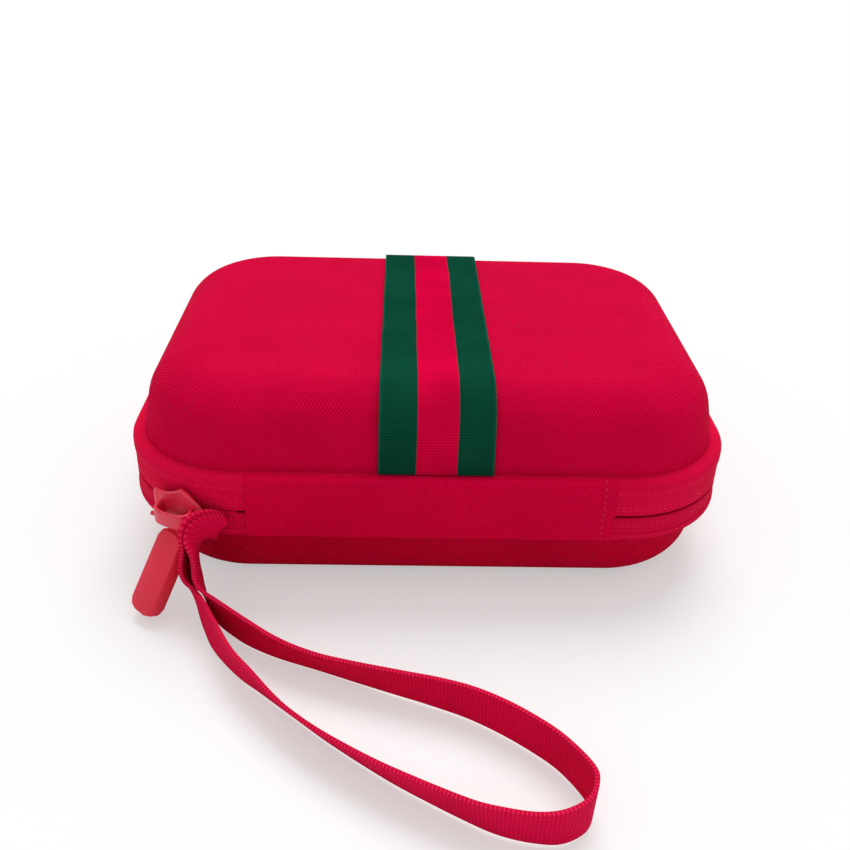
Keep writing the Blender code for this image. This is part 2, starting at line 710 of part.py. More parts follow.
def lid_pocket(parts, cutters):
    """The net pocket stretched across the lid, open towards the back, with its bound edge and sachets."""
    levels = wall_levels(LID, INSIDE_DEPTH)
    knee_inset, knee_z = levels[1]
    reach = LID_EDGE_ROUND - INSIDE_DEPTH
    rise = (POCKET_HEIGHT - knee_z) / reach
    inset = knee_inset + reach * (1 - math.cos(math.asin(rise))) + GAP
    net_look = material("black_net", (0.03, 0.03, 0.03), 0.9)
    top = POCKET_HEIGHT + POCKET_THICKNESS
    sections = [plan_ring(inset, POCKET_HEIGHT), plan_ring(inset + GAP, top)]
    net = lofted("mesh_pocket", sections, net_look, parts)
    low, high = (-CASE_WIDTH, POCKET_MOUTH_Y, 0), (CASE_WIDTH, CASE_DEPTH, CASE_HEIGHT)
    keep = block("pocket_cut", low, high, net_look, cutters)
    boolean(net, keep, "DIFFERENCE")
    half = CASE_WIDTH / 2 - inset - 2 * GAP
    low = (-half, POCKET_MOUTH_Y + GAP, POCKET_HEIGHT - BINDING_SIZE / 2)
    high = (half, POCKET_MOUTH_Y + GAP + BINDING_SIZE, POCKET_HEIGHT + BINDING_SIZE / 2)
    binding = block("pocket_binding", low, high, elastic(), parts, bevel=0.0005, segments=1)
    sachets = []
    for number in range(SACHETS):
        z = top + GAP + number * (SACHET_SIZE[2] + GAP)
        corner = (-SACHET_SIZE[0] / 2, -0.0360, z)
        look = paper("sachet_foil", (0.55, 0.62, 0.70))
        sachets.append(pack(f"wipe_sachet_{number + 1}", corner, SACHET_SIZE, look, parts, bevel=0.0003))
    return [net, binding, *sachets, keep]


# ---------------------------------------------------------------- assembly

def main():
    clear_scene()
    parts = new_collection("first_aid_kit")
    cutters = new_collection("cutters")

    moulded_shell("base_shell", BASE, parts)
    lining("base_lining", BASE, parts)
    lid = [moulded_shell("lid_shell", LID, parts), lining("lid_lining", LID, parts), lid_ribbon(parts)]
    _, upper_tape = zip_tapes(parts)
    zip_coil("zip_coil_lower", ZIP_HEIGHT - COIL_OFFSET, parts)
    lid += [upper_tape, zip_coil("zip_coil_upper", ZIP_HEIGHT + COIL_OFFSET, parts)]
    zip_stop("zip_stop_left", -1, parts)
    zip_stop("zip_stop_right", 1, parts)
    hinge_spine(parts)
    hinge_lining(parts)
    lid += lid_pocket(parts, cutters)
    build_supplies(parts, cutters)
    wrist_strap(parts)
    strap_tack(parts, cutters)

    hinge_axis = empty("lid_hinge_axis", Matrix.Translation((0, HINGE_Y, ZIP_HEIGHT)), parts)
    carry(hinge_axis, *lid)
    slider_axis = empty("slider_travel_axis", slider_place(), parts)
    build_slider(parts, cutters, slider_axis)
    pivot = Matrix.Translation((PIVOT_R, 0, -PIN_DROP)) @ Matrix.Rotation(-PULLER_LEAN, 4, "Y")
    pivot_axis = empty("puller_swing_axis", slider_axis.matrix_world @ pivot, parts)
    carry(slider_axis, pivot_axis)
    build_puller(parts, cutters, pivot_axis)
    for obj in parts.objects:
        if obj.type == "MESH" and obj.name.startswith(("bandage", "tape", "puller")):
            obj.data.shade_smooth()
            obj.data.set_sharp_from_angle(angle=math.radians(40))


main()
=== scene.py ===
import math
import bmesh
import bpy
from mathutils import Matrix, Vector


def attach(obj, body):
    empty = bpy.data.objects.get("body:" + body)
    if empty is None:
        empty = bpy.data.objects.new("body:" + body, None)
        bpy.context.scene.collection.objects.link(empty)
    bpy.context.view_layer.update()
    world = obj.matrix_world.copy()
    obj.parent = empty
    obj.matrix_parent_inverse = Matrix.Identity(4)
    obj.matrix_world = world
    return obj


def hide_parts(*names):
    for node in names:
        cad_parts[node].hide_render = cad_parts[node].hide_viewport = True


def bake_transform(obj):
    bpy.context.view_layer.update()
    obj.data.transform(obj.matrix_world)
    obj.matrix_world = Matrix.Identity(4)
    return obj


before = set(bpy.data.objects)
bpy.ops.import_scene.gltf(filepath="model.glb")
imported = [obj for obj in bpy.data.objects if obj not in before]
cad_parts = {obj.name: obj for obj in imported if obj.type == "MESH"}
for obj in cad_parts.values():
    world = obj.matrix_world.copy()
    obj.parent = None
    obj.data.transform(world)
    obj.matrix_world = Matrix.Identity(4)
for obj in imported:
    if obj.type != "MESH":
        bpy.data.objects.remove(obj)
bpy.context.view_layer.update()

MM = 0.001
BAND_BOTTOM, BAND_TOP, SLIT, HEIGHT = 18.9, 36.6, 26.2, 57.0
HALF_X, HALF_Y, CORNER = 80.0, 57.0, 30.0


# ---------------------------------------------------------------- camera

scene = bpy.context.scene
back = Vector((-0.03161, -0.87456, 0.48389)).normalized()
right = (-back).cross(Vector((0, 0, 1))).normalized()
up = right.cross(-back)
roll = math.radians(2.02)
right_rolled = right * math.cos(roll) + up * math.sin(roll)
up_rolled = up * math.cos(roll) - right * math.sin(roll)
lens = bpy.data.cameras.new("camera")
lens.lens = 40.709
lens.sensor_width = 36
lens.shift_x = -0.00254
lens.shift_y = -0.03757
camera = bpy.data.objects.new("camera", lens)
scene.collection.objects.link(camera)
turn = Matrix((right_rolled, up_rolled, back)).transposed().to_4x4()
camera.matrix_world = Matrix.Translation((-0.009183, -0.254076, 0.170581)) @ turn
scene.camera = camera
scene.view_settings.view_transform = "Standard"


# ---------------------------------------------------------------- materials

class Shader:
    """Adds nodes to one material, with sockets or plain numbers as inputs."""

    def __init__(self, name):
        self.material = bpy.data.materials.new(name)
        self.material.use_nodes = True
        self.tree = self.material.node_tree
        self.bsdf = self.tree.nodes["Principled BSDF"]

    def put(self, socket, value):
        if isinstance(value, bpy.types.NodeSocket):
            self.tree.links.new(value, socket)
        else:
            socket.default_value = value

    def math(self, operation, *values):
        node = self.tree.nodes.new("ShaderNodeMath")
        node.operation = operation
        for socket, value in zip(node.inputs, values):
            self.put(socket, value)
        return node.outputs[0]

    def ramp(self, value, low, high, out_low=0.0, out_high=1.0):
        node = self.tree.nodes.new("ShaderNodeMapRange")
        node.interpolation_type = "SMOOTHSTEP"
        for socket, item in zip(node.inputs, (value, low, high, out_low, out_high)):
            self.put(socket, item)
        return node.outputs[0]

    def mix(self, factor, a, b, kind="RGBA"):
        node = self.tree.nodes.new("ShaderNodeMix")
        node.data_type = kind
        sockets = [s for s in node.inputs if s.enabled]
        for socket, value in zip(sockets, (factor, a, b)):
            self.put(socket, value)
        return next(s for s in node.outputs if s.enabled)

    def noise(self, scale, detail=3.0, vector=None):
        node = self.tree.nodes.new("ShaderNodeTexNoise")
        node.inputs["Scale"].default_value = scale
        node.inputs["Detail"].default_value = detail
        self.put(node.inputs["Vector"], vector or self.place())
        return node.outputs[0]

    def place(self):
        return self.tree.nodes.new("ShaderNodeTexCoord").outputs["Object"]

    def split(self, vector):
        node = self.tree.nodes.new("ShaderNodeSeparateXYZ")
        self.put(node.inputs[0], vector)
        return node.outputs

    def around(self):
        """(distance round the case from the middle of the hinge side, height), in millimetres."""
        x, y, z = [self.math("MULTIPLY", part, 1000.0) for part in self.split(self.place())]
        near_x = self.math("MINIMUM", self.math("MAXIMUM", x, CORNER - HALF_X), HALF_X - CORNER)
        near_y = self.math("MINIMUM", self.math("MAXIMUM", y, CORNER - HALF_Y), HALF_Y - CORNER)
        off_x = self.math("ABSOLUTE", self.math("SUBTRACT", x, near_x))
        off_y = self.math("SUBTRACT", near_y, y)
        turned = self.math("MULTIPLY", self.math("ARCTAN2", off_x, off_y), CORNER)
        along = self.math("ADD", turned, self.math("ADD", near_y, HALF_Y - CORNER))
        signed = self.math("MULTIPLY", along, self.math("SIGN", x))
        return self.math("ADD", near_x, signed), z

    def weave(self, u, v, pitch):
        """Height from 0 to 1 of a plain weave, u and v in millimetres."""
        waves = [self.math("SINE", self.math("MULTIPLY", c, 2 * math.pi / pitch)) for c in (u, v)]
        return self.math("MULTIPLY_ADD", self.math("MULTIPLY", *waves), 0.5, 0.5)

    def dashes(self, along, across, line, period, width=0.22, filled=0.62):
        """1 on the stitches of a row at across = line, both in millimetres."""
        row = self.ramp(self.math("ABSOLUTE", self.math("SUBTRACT", across, line)), width, width * 0.6)
        phase = self.math("FRACT", self.math("DIVIDE", along, period))
        dash = self.ramp(self.math("ABSOLUTE", self.math("SUBTRACT", phase, 0.5)), filled / 2, filled / 2 - 0.08)
        return self.math("MULTIPLY", row, dash)

    def bump(self, height, distance, strength=1.0, under=None):
        node = self.tree.nodes.new("ShaderNodeBump")
        node.inputs["Strength"].default_value = strength
        node.inputs["Distance"].default_value = distance
        self.put(node.inputs["Height"], height)
        if under is not None:
            self.put(node.inputs["Normal"], under)
        self.put(self.bsdf.inputs["Normal"], node.outputs[0])
        return node.outputs[0]

    def finish(self, colour, roughness, specular=0.3, metallic=0.0, sheen=0.0):
        self.put(self.bsdf.inputs["Base Color"], colour)
        self.put(self.bsdf.inputs["Roughness"], roughness)
        self.bsdf.inputs["Specular IOR Level"].default_value = specular
        self.bsdf.inputs["Metallic"].default_value = metallic
        self.bsdf.inputs["Sheen Weight"].default_value = sheen
        return self.material

    def gap_shade_and_mottle(self, colour, height, depth=0.3, mottle=0.06):
        """The colour with painted shade in the gaps of a weave (darker where the height is low), and mottled a
        little.
        """
        patches = self.noise(55.0, 4.0)
        dark = tuple(c * (1 - depth) for c in colour[:3]) + (1.0,)
        woven = self.mix(height, dark, (*colour[:3], 1.0))
        shade = self.ramp(patches, 0.3, 0.7, 1 - mottle, 1 + mottle * 0.3)
        node = self.tree.nodes.new("ShaderNodeVectorMath")
        node.operation = "SCALE"
        self.put(node.inputs[0], woven)
        self.put(node.inputs["Scale"], shade)
        return node.outputs[0]


def canvas(name, colour, pitch=1.0, seams=()):
    """Canvas that lies flat on the crown and runs round the walls, with rows of stitches across at x = seams."""
    s = Shader(name)
    x, y, _ = [s.math("MULTIPLY", part, 1000.0) for part in s.split(s.place())]
    along, z = s.around()
    normal = s.split(s.tree.nodes.new("ShaderNodeTexCoord").outputs["Normal"])
    flat = s.ramp(s.math("ABSOLUTE", normal[2]), 0.62, 0.74)
    height = s.mix(flat, s.weave(along, z, pitch), s.weave(x, y, pitch), "FLOAT")
    slubs = s.noise(900.0, 2.0)
    height = s.math("ADD", height, s.math("MULTIPLY", slubs, 0.5))
    stitches = 0.0
    for line in seams:
        stitches = s.math("MAXIMUM", s.dashes(z, x, line, 1.9, 0.3), stitches)
    s.bump(s.math("ADD", height, s.math("MULTIPLY", stitches, 1.5)), 0.00022, 0.8)
    # Painted shade in the gaps of the weave; the slubs in the height also vary the tone at random.
    cloth = s.gap_shade_and_mottle(colour, height, 0.42)
    # Painted highlight: the stitches are mixed towards a lighter red than the canvas.
    if seams:
        cloth = s.mix(s.math("MULTIPLY", stitches, 0.5), cloth, (0.85, 0.03, 0.09, 1))
    return s.finish(cloth, 0.9, 0.02)


def band_cloth(name, colour, rows, pitch=0.8):
    """Zip tape: a fine weave round the case with rows of stitches."""
    s = Shader(name)
    along, z = s.around()
    height = s.weave(along, z, pitch)
    stitches = 0.0
    for line, period in rows:
        stitches = s.math("MAXIMUM", s.dashes(along, z, line, period), stitches)
    raised = s.math("ADD", s.math("MULTIPLY", height, 0.6), s.math("MULTIPLY", stitches, 2.0))
    s.bump(s.math("ADD", raised, s.math("MULTIPLY", s.noise(700.0, 2.0), 0.4)), 0.0002, 0.6)
    # Painted shade in the gaps of the weave.
    cloth = s.gap_shade_and_mottle(colour, height, 0.25)
    # Painted highlight: the stitches are mixed towards a lighter copy of the tape colour.
    stitch_highlight = tuple(min(1.0, c * 1.35 + 0.01) for c in colour[:3]) + (1.0,)
    return s.finish(s.mix(s.math("MULTIPLY", stitches, 0.6), cloth, stitch_highlight), 0.85, 0.04)


def plain_cloth(name, colour, pitch=0.6, rough=0.85):
    s = Shader(name)
    x, y, z = [s.math("MULTIPLY", part, 1000.0) for part in s.split(s.place())]
    height = s.weave(s.math("ADD", x, z), s.math("SUBTRACT", y, z), pitch)
    s.bump(s.math("ADD", height, s.noise(600.0)), 0.00015, 0.5)
    # Painted shade in the gaps of the weave.
    return s.finish(s.gap_shade_and_mottle(colour, height, 0.3), rough, 0.2)


def ribbon_cloth():
    s = Shader("twill_ribbon")
    x, y, z = [s.math("MULTIPLY", part, 1000.0) for part in s.split(s.place())]
    path = s.math("SUBTRACT", y, s.math("MULTIPLY", z, s.math("SIGN", y)))
    wobble = s.math("MULTIPLY", s.math("SUBTRACT", s.noise(45.0, 1.0), 0.5), 0.8)
    across = s.math("SUBTRACT", s.math("ADD", x, wobble), 1.0)
    inside = s.ramp(s.math("ABSOLUTE", s.math("ADD", across, -0.1)), 5.35, 5.05)
    twill = s.math("SINE", s.math("MULTIPLY", s.math("ADD", across, s.math("MULTIPLY", path, 0.8)), 8.5))
    rib = s.math("SINE", s.math("MULTIPLY", path, 7.4))
    height = s.math("MULTIPLY_ADD", s.math("ADD", twill, rib), 0.25, 0.5)
    colour = s.mix(inside, (0.0045, 0.072, 0.040, 1), (0.74, 0.002, 0.052, 1))
    selvedge = s.ramp(s.math("ABSOLUTE", across), 13.7, 14.2)
    height = s.math("ADD", height, s.math("MULTIPLY", selvedge, 0.8))
    s.bump(height, 0.00018, 0.6)
    node = s.tree.nodes.new("ShaderNodeVectorMath")
    node.operation = "SCALE"
    s.put(node.inputs[0], colour)
    # Painted shade and highlight: darker in the low parts of the twill, lighter on its raised parts and the
    # selvedges; the noise factor is random tone.
    s.put(node.inputs["Scale"], s.math("MULTIPLY", s.ramp(height, 0.0, 1.2, 0.62, 1.15), s.ramp(s.noise(70.0), 0.3, 0.7, 0.85, 1.05)))
    return s.finish(node.outputs[0], 0.9, 0.0)


def webbing_cloth():
    """Ribbed webbing, in the piece's own (along, across) map in millimetres."""
    s = Shader("ribbed_webbing")
    uv = s.tree.nodes.new("ShaderNodeUVMap")
    uv.uv_map = "route"
    along, across, _ = [s.math("MULTIPLY", part, 1000.0) for part in s.split(uv.outputs[0])]
    edge = s.math("ABSOLUTE", across)
    rib = s.math("MULTIPLY_ADD", s.math("SINE", s.math("MULTIPLY", along, 2 * math.pi / 0.85)), 0.5, 0.5)
    cord_rows = s.math("MULTIPLY_ADD", s.math("SINE", s.math("MULTIPLY", across, 2 * math.pi / 1.4)), 0.5, 0.5)
    picks = s.math("MULTIPLY", s.ramp(edge, 5.15, 5.4), s.ramp(rib, 0.5, 0.85))
    height = s.math("ADD", s.math("MULTIPLY", rib, 0.7), s.math("MULTIPLY", cord_rows, 0.3))
    s.bump(s.math("ADD", height, s.math("MULTIPLY", picks, 0.7)), 0.0002, 0.7)
    # Painted shade between the ribs of the webbing.
    cloth = s.gap_shade_and_mottle((0.78, 0.002, 0.060), height, 0.3)
    # Painted highlight: the picks along both edges are mixed towards a lighter red, a dotted light line.
    return s.finish(s.mix(s.math("MULTIPLY", picks, 0.3), cloth, (0.80, 0.06, 0.10, 1)), 0.85, 0.05)


def hard(name, colour, roughness, grain=260.0, depth=0.00004, specular=0.5, metallic=0.0):
    s = Shader(name)
    speckle = s.noise(grain, 5.0)
    s.bump(speckle, depth, 0.6)
    dark = tuple(c * 0.8 for c in colour) + (1.0,)
    tone = s.mix(s.ramp(speckle, 0.35, 0.65), dark, (*colour, 1.0))
    rough = s.ramp(s.noise(40.0), 0.3, 0.7, roughness * 0.85, min(1.0, roughness * 1.15))
    return s.finish(tone, rough, specular, metallic)


def striped(name, colour, axis, period, depth=0.35, rough=0.8):
    """Layers or ribs across one axis, as on a roll's wraps, a stack of strips or a coil."""
    s = Shader(name)
    part = s.math("MULTIPLY", s.split(s.place())[axis], 1000.0)
    wave = s.math("MULTIPLY_ADD", s.math("SINE", s.math("MULTIPLY", part, 2 * math.pi / period)), 0.5, 0.5)
    height = s.math("ADD", wave, s.math("MULTIPLY", s.noise(500.0), 0.8))
    s.bump(height, 0.0002, 0.6)
    # Painted shade in the troughs between the wraps, layers or ribs; the noise in the height also varies the tone
    # at random.
    return s.finish(s.gap_shade_and_mottle(colour, height, depth), rough, 0.25)


RED = (0.68, 0.0010, 0.046)
CANVAS = canvas("canvas_lid", RED)
# The base's copy of the canvas is painted darker and less blue than the lid's, as painted shade.
CANVAS_LOW = canvas("canvas_base", (0.60, 0.0010, 0.030))
TAPE_UP = band_cloth("zip_tape_up", (0.76, 0.002, 0.052), [(28.2, 1.6), (29.1, 1.6), (33.6, 2.2)])
# The lower tape (and lower welt) is a darker copy of the upper tape's colour, as painted shade.
TAPE_LOW = band_cloth("zip_tape_low", (0.70, 0.002, 0.048), [(24.2, 1.6), (23.3, 1.6), (20.6, 2.2)])
SPINE = canvas("canvas_spine", (0.72, 0.0010, 0.046), 1.0, (43.6,))
RIBBON = ribbon_cloth()
WEBBING = webbing_cloth()
PAINT = hard("slider_paint", (0.82, 0.020, 0.070), 0.36)
RUBBER = hard("puller_rubber", (0.80, 0.022, 0.060), 0.5, 3500.0, 0.00002, specular=0.3)
COIL = striped("zip_coil", (0.30, 0.002, 0.022), 0, 1.1)
LINING = plain_cloth("knit_lining", (0.060, 0.060, 0.066))
ELASTIC = striped("elastic", (0.025, 0.025, 0.027), 1, 0.9)
NET = plain_cloth("pocket_net", (0.02, 0.02, 0.022), 1.6)
BANDAGE = striped("crepe_bandage", (0.74, 0.70, 0.62), 1, 1.0, 0.25)
TAPE_ROLL = striped("cloth_tape", (0.66, 0.60, 0.52), 2, 1.3, 0.2)
PLASTER = striped("plaster_wrappers", (0.66, 0.48, 0.36), 2, 1.2, 0.4)
GAUZE = striped("gauze_wrappers", (0.72, 0.75, 0.76), 2, 2.0, 0.3)
SACHET = hard("foil_sachet", (0.52, 0.60, 0.68), 0.35, 120.0, 0.0002)
STEEL = hard("tweezer_steel", (0.60, 0.60, 0.62), 0.28, 300.0, metallic=1.0)


def paint(obj, material):
    obj.data.materials.clear()
    obj.data.materials.append(material)


CAD_LOOKS = {
    "base_lining": LINING, "lid_lining": LINING, "hinge_lining": LINING, "zip_coil_lower": COIL,
    "zip_coil_upper": COIL, "zip_stop_left": PAINT, "zip_stop_right": PAINT, "slider_body": PAINT,
    "slider_bail": PAINT, "puller_pin": PAINT, "puller": RUBBER, "strap_tack": TAPE_LOW,
    "mesh_pocket": NET, "pocket_binding": ELASTIC, "elastic_loop_large": ELASTIC,
    "elastic_loop_small": ELASTIC, "bandage_roll_large": BANDAGE, "bandage_roll_small": BANDAGE,
    "tape_roll": TAPE_ROLL, "plaster_strips": PLASTER, "gauze_pads": GAUZE, "wipe_sachet_1": SACHET,
    "wipe_sachet_2": SACHET, "wipe_sachet_3": SACHET, "tweezers": STEEL,
}
for node_name, look in CAD_LOOKS.items():
    paint(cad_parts[node_name], look)


# ---------------------------------------------------------------- modelling helpers

def start_box(name, low, high):
    """A box between two corners in millimetres, in edit mode with nothing selected."""
    bpy.ops.object.select_all(action="DESELECT")
    centre = [(a + b) / 2 * MM for a, b in zip(low, high)]
    bpy.ops.mesh.primitive_cube_add(size=1, location=centre)
    obj = bpy.context.active_object
    obj.name = name
    obj.scale = [(b - a) * MM for a, b in zip(low, high)]
    bpy.ops.object.transform_apply(location=True, rotation=True, scale=True)
    bpy.ops.object.mode_set(mode="EDIT")
    bpy.ops.mesh.select_all(action="DESELECT")
    return obj


def select(obj, kind, test):
    """Selects the faces or edges that pass the test, in edit mode."""
    bpy.ops.mesh.select_all(action="DESELECT")
    mode = {"faces": "FACE", "edges": "EDGE", "verts": "VERT"}[kind]
    bpy.ops.mesh.select_mode(type=mode)
    bm = bmesh.from_edit_mesh(obj.data)
    for item in getattr(bm, kind):
        if test(item):
            item.select_set(True)
    bm.select_flush_mode()
    bmesh.update_edit_mesh(obj.data)


def upright(edge):
    a, b = (v.co for v in edge.verts)
    return abs(a.x - b.x) < 1e-6 and abs(a.y - b.y) < 1e-6


def level_at(z):
    return lambda item: all(abs(v.co.z - z * MM) < 1e-6 for v in item.verts)


def end_edit(obj, angle=50):
    bpy.ops.mesh.select_all(action="SELECT")
    bpy.ops.mesh.normals_make_consistent(inside=False)
    bpy.ops.object.mode_set(mode="OBJECT")
    bpy.ops.object.select_all(action="DESELECT")
    obj.select_set(True)
    bpy.context.view_layer.objects.active = obj
    bpy.ops.object.shade_smooth_by_angle(angle=math.radians(angle))


def apply_modifier(obj, kind, **settings):
    modifier = obj.modifiers.new(kind.lower(), kind)
    for key, value in settings.items():
        setattr(modifier, key, value)
    bpy.context.view_layer.objects.active = obj
    bpy.ops.object.modifier_apply(modifier=modifier.name)


def shell(name, low_z, high_z, crown_up, edge_round, material, body):
    """A moulded half of the case: a box with round corners, a draft, and a soft edge round its crown."""
    inset = 3.0
    obj = start_box(name, (inset - HALF_X, inset - HALF_Y, low_z), (HALF_X - inset, HALF_Y - inset, high_z))
    crown = high_z if crown_up else low_z
    foot = low_z if crown_up else high_z
    select(obj, "edges", upright)
    bpy.ops.mesh.bevel(offset=(CORNER - inset) * MM, segments=20, profile=0.5, affect="EDGES")
    select(obj, "faces", level_at(crown))
    lean = abs(high_z - low_z) * math.tan(math.radians(10.4))
    shrink = (1 - lean / (HALF_X - inset), 1 - lean / (HALF_Y - inset), 1)
    bpy.ops.transform.resize(value=shrink, center_override=(0, 0, crown * MM))
    select(obj, "edges", level_at(crown))
    bpy.ops.mesh.bevel(offset=edge_round * 0.9 * MM, segments=12, profile=0.5, affect="EDGES")
    select(obj, "faces", level_at(foot))
    bpy.ops.mesh.delete(type="FACE")
    end_edit(obj)
    apply_modifier(obj, "SOLIDIFY", thickness=2.4 * MM, offset=-1)
    bpy.ops.object.shade_smooth_by_angle(angle=math.radians(50))
    paint(obj, material)
    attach(obj, body)
    return obj


def band(name, low_z, high_z, material, body, depth, inset=0.0, rounds=(0.3, 0.3)):
    """A ring of cloth round the case, with its lower and upper outer edges rounded."""
    obj = start_box(name, (inset - HALF_X, inset - HALF_Y, low_z), (HALF_X - inset, HALF_Y - inset, high_z))
    select(obj, "edges", upright)
    bpy.ops.mesh.bevel(offset=(CORNER - inset) * MM, segments=24, profile=0.5, affect="EDGES")
    select(obj, "faces", lambda f: abs(f.normal.z) > 0.9)
    bpy.ops.mesh.inset(thickness=depth * MM)
    bpy.ops.mesh.delete(type="FACE")
    select(obj, "edges", lambda e: e.is_boundary)
    bpy.ops.mesh.bridge_edge_loops()
    for level, size in zip((low_z, high_z), rounds):
        select(obj, "edges", lambda e: level_at(level)(e) and any(abs(f.normal.z) < 0.1 and f.normal.dot(
            Vector((f.calc_center_median().x, f.calc_center_median().y, 0))) > 0 for f in e.link_faces))
        bpy.ops.mesh.bevel(offset=size * MM, segments=5, profile=0.5, affect="EDGES")
    end_edit(obj)
    paint(obj, material)
    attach(obj, body)
    return obj


# ---------------------------------------------------------------- case

lid = shell("lid_cover", BAND_TOP - 1.5, HEIGHT, True, 12.2, CANVAS, "lid")
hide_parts("lid_shell")
base = shell("base_cover", 0.0, BAND_BOTTOM + 1.5, False, 10.6, CANVAS_LOW, "base")
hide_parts("base_shell")
upper_tape = band("tape_upper", SLIT + 0.35, 33.6, TAPE_UP, "lid", 0.8, 0.25)
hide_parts("zip_tape_upper")
lower_tape = band("tape_lower", 20.6, SLIT - 0.35, TAPE_LOW, "base", 0.8, 0.25)
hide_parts("zip_tape_lower")
band("welt_upper", 32.4, BAND_TOP, TAPE_UP, "lid", 5.0, rounds=(0.5, 2.0))
band("welt_lower", BAND_BOTTOM, 21.3, TAPE_LOW, "base", 5.0, rounds=(1.1, 0.4))

spine = start_box("spine_cloth", (-46.5, -57.5, BAND_BOTTOM - 0.3), (46.5, -55.4, BAND_TOP + 0.25))
select(spine, "edges", lambda e: all(v.co.y < -0.0574 for v in e.verts) and abs(e.verts[0].co.z - e.verts[1].co.z) < 1e-6)
bpy.ops.mesh.bevel(offset=1.7 * MM, segments=5, profile=0.5, affect="EDGES")
bpy.ops.mesh.select_all(action="SELECT")
bpy.ops.mesh.subdivide(number_cuts=9)
end_edit(spine)
paint(spine, SPINE)
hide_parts("hinge_spine")
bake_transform(spine)


def ribbon():
    """The ribbon: one edge carried over the lid, then given its thickness."""
    profile = []
    knee = HEIGHT - 12.2
    inset = 3.0 + (knee - BAND_TOP) * math.tan(math.radians(10.4))
    profile.append((HALF_Y - 2.7, BAND_TOP + 0.3))
    for step in range(13):
        turned = math.pi / 2 * step / 12
        reach = 12.2 + 0.25
        profile.append((HALF_Y - inset - 12.2 + reach * math.cos(turned), knee + reach * math.sin(turned)))
    profile += [(-y, z) for y, z in profile[::-1]]
    bpy.ops.object.select_all(action="DESELECT")
    bpy.ops.mesh.primitive_grid_add(x_subdivisions=12, y_subdivisions=len(profile) - 1, size=1)
    obj = bpy.context.active_object
    obj.name = "ribbon"
    rows = len(profile) - 1
    for v in obj.data.vertices:
        y, z = profile[round((0.5 - v.co.y) * rows)]
        v.co = (MM * (1.0 + v.co.x * 29.0), MM * y, MM * z)
    obj.data.update()
    apply_modifier(obj, "SOLIDIFY", thickness=0.55 * MM, offset=1)
    apply_modifier(obj, "BEVEL", width=0.15 * MM, segments=2)
    bpy.ops.object.shade_smooth_by_angle(angle=math.radians(50))
    paint(obj, RIBBON)
    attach(obj, "lid")
    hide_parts("lid_ribbon")
    return obj


ribbon()


# ---------------------------------------------------------------- wrist strap

ROUTE = [
    (-51.5, -57.9, 25.9, 0, 0, 1), (-55.5, -58.8, 25.3, 0, -0.15, 1), (-59.3, -60.0, 23.3, -0.05, -0.55, 0.83),
    (-61.2, -61.0, 19.5, 0, -0.97, 0.2), (-61.6, -62.0, 15.5, 0, -0.99, 0.1), (-60.9, -63.6, 11.5, 0, -0.88, 0.45),
    (-59.0, -66.6, 8.2, 0, -0.5, 0.86), (-56.0, -71.5, 6.2, 0, -0.1, 1), (-52.1, -78.7, 5.6, 0, 0, 1),
    (-45.6, -87.9, 5.6, -0.14, -0.13, 0.98), (-40.0, -93.4, 5.4, -0.22, -0.24, 0.95),
    (-31.7, -101.4, 5.0, -0.34, -0.35, 0.87), (-24.1, -107.9, 5.0, -0.33, -0.38, 0.87),
    (-15.2, -114.4, 5.1, -0.26, -0.37, 0.89), (-6.8, -119.9, 5.3, -0.20, -0.33, 0.92),
    (6.7, -127.4, 5.5, -0.12, -0.25, 0.96), (13.3, -130.0, 5.6, -0.07, -0.18, 0.98),
    (19.7, -131.3, 5.6, -0.02, -0.14, 0.99), (25.0, -131.1, 5.7, 0, -0.07, 1), (29.8, -128.6, 5.7, 0.02, -0.03, 1),
    (32.0, -124.9, 5.7, 0.03, 0, 1), (31.9, -120.7, 5.7, 0.03, 0, 1), (27.5, -113.7, 5.7, 0, 0, 1),
    (22.4, -108.7, 5.7, 0, 0, 1), (15.8, -103.7, 5.7, 0.02, -0.03, 1), (8.7, -99.5, 5.6, 0.05, -0.09, 0.99),
    (1.4, -96.5, 5.5, 0.08, -0.17, 0.98), (-7.7, -93.4, 5.3, 0.13, -0.30, 0.95),
    (-17.2, -90.0, 5.0, 0.18, -0.42, 0.89), (-26.7, -86.4, 4.8, 0.22, -0.50, 0.84),
    (-36.3, -82.2, 4.9, 0.25, -0.45, 0.86), (-45.0, -76.8, 5.1, 0.27, -0.36, 0.89),
    (-52.5, -71.0, 6.3, 0.15, -0.4, 0.9), (-56.3, -67.3, 8.8, 0.12, -0.7, 0.7),
    (-58.2, -64.9, 12.5, 0.12, -0.95, 0.3), (-58.8, -63.0, 16.5, 0.1, -0.95, 0.3),
    (-58.6, -61.6, 20.0, 0, -0.6, 0.8), (-57.0, -60.6, 22.8, 0, -0.2, 0.98),
    (-54.2, -59.4, 24.8, 0, 0, 1), (-51.0, -59.0, 25.6, 0, 0, 1),
]


def catmull(points, per):
    ends = [[2 * a - b for a, b in zip(points[0], points[1])], *points,
            [2 * a - b for a, b in zip(points[-1], points[-2])]]
    out = []
    for p0, p1, p2, p3 in zip(ends, ends[1:], ends[2:], ends[3:]):
        for step in range(per):
            t = step / per
            out.append([
                (2 * b + (c - a) * t + (2 * a - 5 * b + 4 * c - d) * t * t + (3 * b - a - 3 * c + d) * t ** 3) / 2
                for a, b, c, d in zip(p0, p1, p2, p3)
            ])
    out.append(list(points[-1]))
    return out


